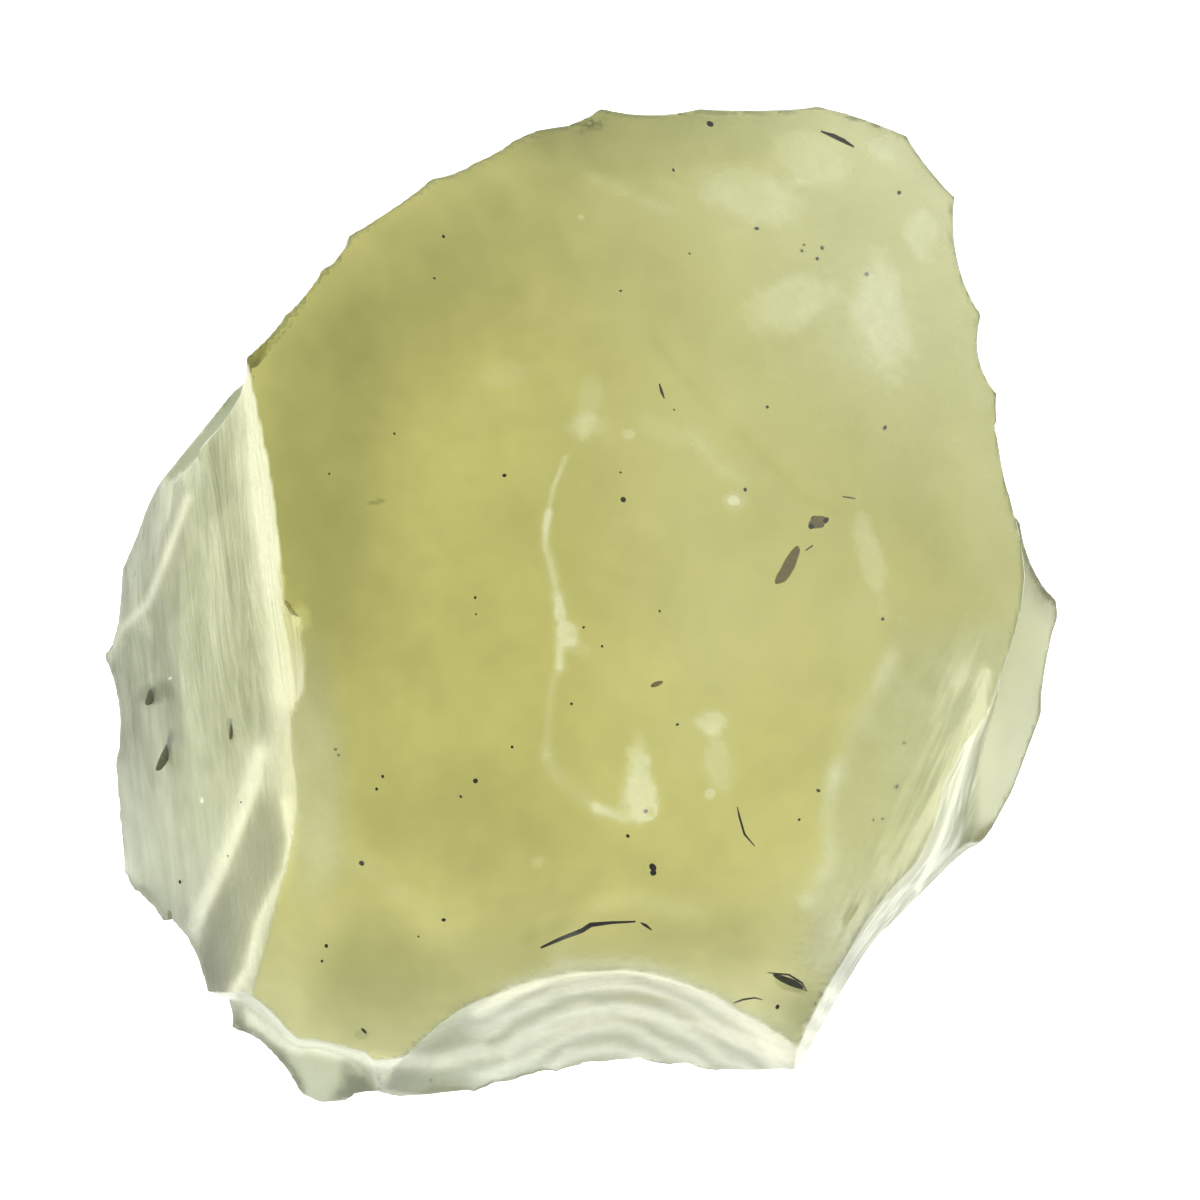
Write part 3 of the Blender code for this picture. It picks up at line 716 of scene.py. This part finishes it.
beside = add_node(glass, 'Mapping', {"vector_type": 'TEXTURE'}, Vector=where, Scale=stretch,
                  Rotation=(0.0, 0.0, math.radians(SCRATCH_TURN))).outputs[0]
scratch = add_node(glass, 'TexNoise', Vector=beside, Scale=1.2, Detail=2.0, Roughness=0.7).outputs[0]
scratch = add_node(glass, 'MapRange', Value=scratch, From_Min=0.42, From_Max=0.6).outputs[0]
scratch = add_node(glass, 'Math', TIMES, _0=scratch, _1=painted["scratched"]).outputs[0]
print("with sanded glass:", len(glass.node_tree.nodes), "nodes")

# %% [markdown]
# ## The colour of the skin
# Clear and matt glass are mixed by the frost. Over them come the pale marks, whose strength varies in clouds
# half a millimetre across, with the scratches, and then the shaded ones.

# %% Colour of the skin
TEAR_SIZE = 0.4545
SCRATCH_STRENGTH = 0.6
# PALE brings painted light and SHADE painted shade, along with the own colour of the pale marks and the
# stains
PALE, SHADE = "#F9FFEE", "#4C5A30"

tear = add_node(glass, 'TexNoise', Vector=where, Scale=1.0 / (TEAR_SIZE * MM), Detail=2.0,
                Roughness=0.7).outputs[0]
tear = add_node(glass, 'MapRange', Value=tear, From_Min=0.3, From_Max=0.7, To_Min=0.9,
                To_Max=1.06).outputs[0]
pale = add_node(glass, 'Math', TIMES, _0=painted["pale"], _1=tear).outputs[0]
bright = add_node(glass, 'Math', TIMES, _0=scratch, _1=SCRATCH_STRENGTH).outputs[0]
pale = add_node(glass, 'Math', PLUS, _0=pale, _1=bright).outputs[0]
tint = add_node(glass, 'Mix', MIX, _0=painted["frost"], _6=clear, _7=matt).outputs[2]
tint = add_node(glass, 'Mix', MIX, _0=pale, _6=tint, _7=linear(PALE)).outputs[2]
tint = add_node(glass, 'Mix', MIX, _0=painted["shade"], _6=tint, _7=linear(SHADE)).outputs[2]
print("with its colours:", len(glass.node_tree.nodes), "nodes")

# %% [markdown]
# ## Surface and depth
# Silica glass has an IOR of 1.46. Light passes through it, and a sanded skin scatters part of the light at
# once, so there the share that passes is lower. Grains 0.3 mm across and the grooves give the matt faces a
# fine relief. Real desert glass takes away mostly blue light, so it turns yellow with depth. Here it takes
# about 28, 32 and 90 per metre of red, green and blue. A plain volume absorption with one colour and one
# density holds that: each of the three is the density times what the colour lacks.

# %% Surface and depth
GRAIN_SIZE = 0.303
GROOVE_HEIGHT = 1.6
RELIEF = 0.08
RELIEF_STRENGTH = 0.6
MATT_PASSES = 0.55
ABSORPTION_COLOUR = "#DDD759"
ABSORPTION_DENSITY = 100.0

grain = add_node(glass, 'TexNoise', Vector=where, Scale=1.0 / (GRAIN_SIZE * MM), Detail=1.0).outputs[0]
grain = add_node(glass, 'Math', TIMES, _0=grain, _1=painted["frost"]).outputs[0]
deep = add_node(glass, 'Math', TIMES, _0=groove, _1=GROOVE_HEIGHT).outputs[0]
height = add_node(glass, 'Math', PLUS, _0=deep, _1=grain).outputs[0]
relief = add_node(glass, 'Bump', Height=height, Strength=RELIEF_STRENGTH,
                  Distance=RELIEF * MM).outputs[0]
passes = add_node(glass, 'MapRange', Value=painted["frost"], To_Min=1.0, To_Max=MATT_PASSES).outputs[0]
surface = add_node(glass, 'BsdfPrincipled', Base_Color=tint, Roughness=painted["rough"],
                   IOR=1.46, Transmission_Weight=passes, Normal=relief)
volume = add_node(glass, 'VolumeAbsorption', Color=linear(ABSORPTION_COLOUR), Density=ABSORPTION_DENSITY)
glass.node_tree.links.new(surface.outputs[0], output.inputs["Surface"])
glass.node_tree.links.new(volume.outputs[0], output.inputs["Volume"])
lump.data.materials.clear()
lump.data.materials.append(glass)
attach(lump, "root")
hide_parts("glass_fragment")
print("lump:", len(lump.data.polygons), "faces in", glass.name)

# %% [markdown]
# ## What is caught inside
# Small dark grains of iron-rich dust, thin cracks, and brown and olive flakes of other minerals lie a little
# way under the skin. Each is a small solid of its own, sunk under the place where it is seen.

# %% Places of the grains, cracks and flakes
# dark grains: the place from above and the radius
GRAINS = (
    (5.49, 20.2, 0.12), (13.4, 17.38, 0.1), (7.43, 15.84, 0.1), (9.35, 14.94, 0.07), (9.43, 15.19, 0.06),
    (10.18, 15.07, 0.09), (9.93, 14.57, 0.07), (12.01, 13.95, 0.09), (4.61, 14.75, 0.05), (1.75, 13.2, 0.05),
    (3.95, 18.24, 0.06), (-5.62, 15.49, 0.08), (-5.99, 13.74, 0.05), (-7.63, 7.27, 0.06), (3.98, 8.27, 0.05),
    (7.88, 8.4, 0.07), (12.79, 7.55, 0.1), (1.87, 4.55, 0.11), (1.75, 5.66, 0.05), (-3.05, 5.54, 0.11),
    (-10.31, 5.62, 0.06), (6.92, 4.96, 0.1), (-4.28, 0.49, 0.09), (-4.24, -0.21, 0.05), (0.22, -0.75, 0.06),
    (1.0, -1.53, 0.05), (3.36, -0.08, 0.05), (-0.28, -3.93, 0.06), (4.1, -4.79, 0.06), (-2.76, -5.74, 0.07),
    (-4.29, -7.19, 0.12), (-4.91, -7.9, 0.06), (12.69, -0.42, 0.07), (9.99, -7.58, 0.09), (9.17, -8.79, 0.06),
    (12.33, -8.84, 0.06), (2.04, -9.48, 0.07), (8.32, -16.86, 0.1), (13.66, -5.6, 0.07), (13.33, -7.43, 0.08),
    (12.67, -8.76, 0.06), (-5.65, -13.14, 0.1), (-6.69, -13.74, 0.05), (-3.83, -17.51, 0.07),
    (-2.25, -18.46, 0.06), (-0.72, -17.55, 0.06), (-9.04, -10.67, 0.11), (-10.07, -5.87, 0.07),
    (-9.95, -6.12, 0.05), (-8.13, -7.03, 0.06), (-8.39, -7.57, 0.06), (-10.58, -14.22, 0.08),
    (-10.76, -14.85, 0.06), (-14.12, -8.07, 0.06), (-14.71, -10.36, 0.05), (-16.87, -11.55, 0.12),
    (-7.16, -20.0, 0.07), (-6.24, -20.05, 0.07), (3.08, -10.91, 0.16), (3.1, -11.1, 0.14), (9.95, 3.64, 0.26),
    (10.3, 3.7, 0.13), (9.66, 3.43, 0.12), (2.78, -8.44, 0.09),
)
# thin cracks: the bends and the half thickness; the first is the long one, the third edges an olive flake
CRACKS = (
    (((-1.58, -14.24), (-0.74, -13.86), (0.13, -13.52), (0.51, -13.27), (1.38, -13.18), (2.38, -13.14)), 0.1),
    (((2.59, -13.19), (2.8, -13.3), (3.04, -13.49)), 0.07),
    (((7.89, -15.32), (8.77, -15.41), (9.32, -15.75), (9.53, -16.09), (8.98, -15.92)), 0.05),
    (((6.59, -8.28), (6.68, -8.7), (6.89, -9.45), (7.31, -9.95)), 0.05),
    (((6.07, -16.72), (6.86, -16.47), (7.36, -16.39), (7.69, -16.48)), 0.045),
    (((3.36, 9.35), (3.45, 9.02), (3.57, 8.73)), 0.06),
    (((10.99, 4.68), (11.53, 4.6)), 0.05),
    (((9.74, 2.65), (9.45, 2.44)), 0.07),
    (((10.11, 19.9), (10.65, 19.7), (11.07, 19.5), (11.49, 19.25)), 0.09),
)
# flakes: the middle, the half length, the half width and the turn in degrees
BROWN_FLAKES = (
    (8.72, 1.8, 0.95, 0.26, 60.0), (3.23, -3.1, 0.3, 0.1, 20.0), (9.95, 3.64, 0.42, 0.24, 20.0),
)
OLIVE_FLAKES = (
    (-17.4, -6.0, 1.0, 0.2, 64.0), (-18.1, -3.7, 0.42, 0.25, 60.0), (-9.04, -17.8, 0.16, 0.06, -50.0),
    (-14.55, -5.0, 0.5, 0.09, 82.0), (8.75, -15.7, 0.75, 0.17, -27.0),
)
print("grains:", len(GRAINS), "cracks:", len(CRACKS), "flakes:", len(BROWN_FLAKES) + len(OLIVE_FLAKES))

# %% [markdown]
# ## How they are shaped
# A grain or a flake is a small ball, squashed and made uneven by a noise. On the matt left face it lies in a
# pit just under the skin, because deeper it would not show. A crack is a thin bent tube, thicker in the
# middle than at its ends. A ray cast down on the lump finds how high the skin is above each of them.

# %% Helpers for grains and cracks
HIGH_ABOVE = 40.0
MATT_SIDE = -12.5
PIT_DEPTH = 0.03
CRACK_DEPTH = 0.4
CRACK_END = 0.45
CRACK_VARIES = (0.8, 1.25)
UNEVEN, UNEVEN_SIZE = 0.35, 0.55

tree = BVHTree.FromPolygons([tuple(point) for point in place],
                            [tuple(face.vertices) for face in lump.data.polygons])


def under_skin(x, y, deep):
    """The place at a given depth under the top of the lump, in millimetres."""
    found, direction = tree.ray_cast(Vector((x, y, HIGH_ABOVE)), Vector((0.0, 0.0, -1.0)))[:2]
    return found - direction * deep


def grain_or_flake(x, y, deep, half_sizes, turn):
    """A squashed ball under the skin, with an uneven outline."""
    deep = PIT_DEPTH if x < MATT_SIDE else deep
    bpy.ops.mesh.primitive_ico_sphere_add(subdivisions=3, radius=MM, location=under_skin(x, y, deep) * MM,
                                          rotation=(0.0, 0.0, math.radians(turn)), scale=half_sizes)
    made = bpy.context.object
    for point in made.data.vertices:
        point.co *= 1.0 + UNEVEN * noise.noise(point.co / (UNEVEN_SIZE * MM) + Vector((x, y, 0.0)))
    return made


def crack(bends, thick):
    """A thin bent tube under the skin."""
    curve = bpy.data.curves.new("crack", 'CURVE')
    curve.dimensions = '3D'
    curve.bevel_depth = thick * MM
    curve.bevel_resolution = 1
    curve.use_fill_caps = True
    line = curve.splines.new('POLY')
    line.points.add(len(bends) - 1)
    for number, (point, (x, y)) in enumerate(zip(line.points, bends)):
        swell = math.sin(math.pi * number / (len(bends) - 1))
        point.co = (*(under_skin(x, y, CRACK_DEPTH) * MM), 1.0)
        point.radius = (CRACK_END + (1.0 - CRACK_END) * swell) * random.uniform(*CRACK_VARIES)
    made = bpy.data.objects.new("crack", curve)
    bpy.context.scene.collection.objects.link(made)
    only(made)
    bpy.ops.object.convert(target='MESH')
    return bpy.context.object


def join(pieces, name, material):
    """Makes one object of many, with its origin in the middle of the frame."""
    bpy.ops.object.select_all(action='DESELECT')
    for piece in pieces:
        piece.select_set(True)
    bpy.context.view_layer.objects.active = pieces[0]
    bpy.ops.object.join()
    made = bpy.context.object
    made.name = name
    bpy.ops.object.transform_apply(location=True, rotation=True, scale=True)
    bpy.ops.object.shade_smooth()
    made.data.materials.clear()
    made.data.materials.append(material)
    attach(made, "root")
    print(name, len(made.data.polygons), "faces")


# %% [markdown]
# ## Minerals of the grains and flakes
# The grains and cracks hold iron-rich dust, nearly black. The flakes are silica that was stained brown or
# olive. All of them are dull, and patchy in colour in clouds a sixth of a millimetre across.

# %% Minerals
PATCH_SIZE = 0.1667


def mineral(name, colour, other, rough):
    """A dull mineral, patchy between two colours."""
    made, output = new_material(name)
    where = add_node(made, 'TexCoord').outputs["Object"]
    patchy = add_node(made, 'TexNoise', Vector=where, Scale=1.0 / (PATCH_SIZE * MM), Detail=2.0).outputs[0]
    mixed = add_node(made, 'Mix', MIX, _0=patchy, _6=linear(colour), _7=linear(other)).outputs[2]
    surface = add_node(made, 'BsdfPrincipled', Base_Color=mixed, Roughness=rough)
    made.node_tree.links.new(surface.outputs[0], output.inputs["Surface"])
    return made


iron = mineral("iron_rich_dust", "#1C1A12", "#3A3524", 0.8)
brown = mineral("brown_silica", "#B8965A", "#D6BC8A", 0.7)
olive = mineral("olive_silica", "#4E5236", "#7C8060", 0.7)
print("minerals:", iron.name, brown.name, olive.name)

# %% [markdown]
# ## Put them in the glass
# The grains lie at random depths, and each is squashed and turned at random. The seed is fixed, so that they
# come out the same each time. Pieces of one kind are joined into one object.

# %% Grains, cracks and flakes
SEED = 20
GRAIN_LONG, GRAIN_WIDE, GRAIN_HIGH = (0.85, 1.3), (0.75, 1.05), 0.7
SINK = (0.25, 0.7)
ANY_TURN = (0.0, 180.0)
FLAKE_DEPTH = 0.45
FLAKE_THICK = 0.1

random.seed(SEED)
grains = []
for x, y, radius in GRAINS:
    flat = (radius * random.uniform(*GRAIN_LONG), radius * random.uniform(*GRAIN_WIDE), radius * GRAIN_HIGH)
    grains.append(grain_or_flake(x, y, random.uniform(*SINK), flat, random.uniform(*ANY_TURN)))
join(grains, "dark_grains", iron)
join([crack(bends, thick) for bends, thick in CRACKS], "thin_cracks", iron)
for name, flakes, material in (("brown_flakes", BROWN_FLAKES, brown), ("olive_flakes", OLIVE_FLAKES, olive)):
    made = []
    for x, y, long, wide, turn in flakes:
        made.append(grain_or_flake(x, y, FLAKE_DEPTH, (long, wide, FLAKE_THICK), turn))
    join(made, name, material)

# %% [markdown]
# ## Light table
# The table is a pane of opal acrylic, lit from below. It shines more brightly than white paper, so that it
# stays pure white in the picture and still comes through the glass.

# %% Light table
FLOOR_GAP = 0.2
FLOOR_SIZE = 3.0
TABLE_LIGHT = 1.6

bpy.ops.object.select_all(action='DESELECT')
bpy.ops.mesh.primitive_plane_add(size=FLOOR_SIZE, location=(0.0, 0.0, -FLOOR_GAP * MM))
floor = bpy.context.object
floor.name = "light_table"
panel, output = new_material("opal_acrylic")
lit = add_node(panel, 'BsdfPrincipled', Base_Color=linear("#F4F4F2"), Roughness=0.6,
               Emission_Color=linear("#FFFFFF"), Emission_Strength=TABLE_LIGHT)
panel.node_tree.links.new(lit.outputs[0], output.inputs["Surface"])
panel.cycles.emission_sampling = 'NONE'
floor.data.materials.append(panel)
print("table:", FLOOR_SIZE, "m wide")

# %% [markdown]
# ## Room and camera
# The room adds soft even light from all sides. The camera looks straight down from half a metre, as in the
# photo, through a long lens in which the lump fills most of the picture.

# %% Room and camera
ROOM_LIGHT = 0.8
CAMERA_PLACE = (0.88, 0.37, 500.0)
SENSOR = 36.0
FOCAL_LENGTH = 349.8
NEAREST = 0.01

world = bpy.data.worlds.new("studio")
world.use_nodes = True
bpy.context.scene.world = world
room = world.node_tree.nodes["Background"]
room.inputs["Color"].default_value = (ROOM_LIGHT, ROOM_LIGHT, ROOM_LIGHT, 1.0)
room.inputs["Strength"].default_value = 1.0
world.cycles.sampling_method = 'NONE'
bpy.ops.object.camera_add(location=[part * MM for part in CAMERA_PLACE], rotation=(0.0, 0.0, 0.0))
camera = bpy.context.object
camera.data.sensor_width = SENSOR
camera.data.lens = FOCAL_LENGTH
camera.data.clip_start = NEAREST
bpy.context.scene.camera = camera
bpy.context.scene.view_settings.view_transform = 'Standard'
print("camera:", round(camera.location.z / MM), "mm above the resting face")
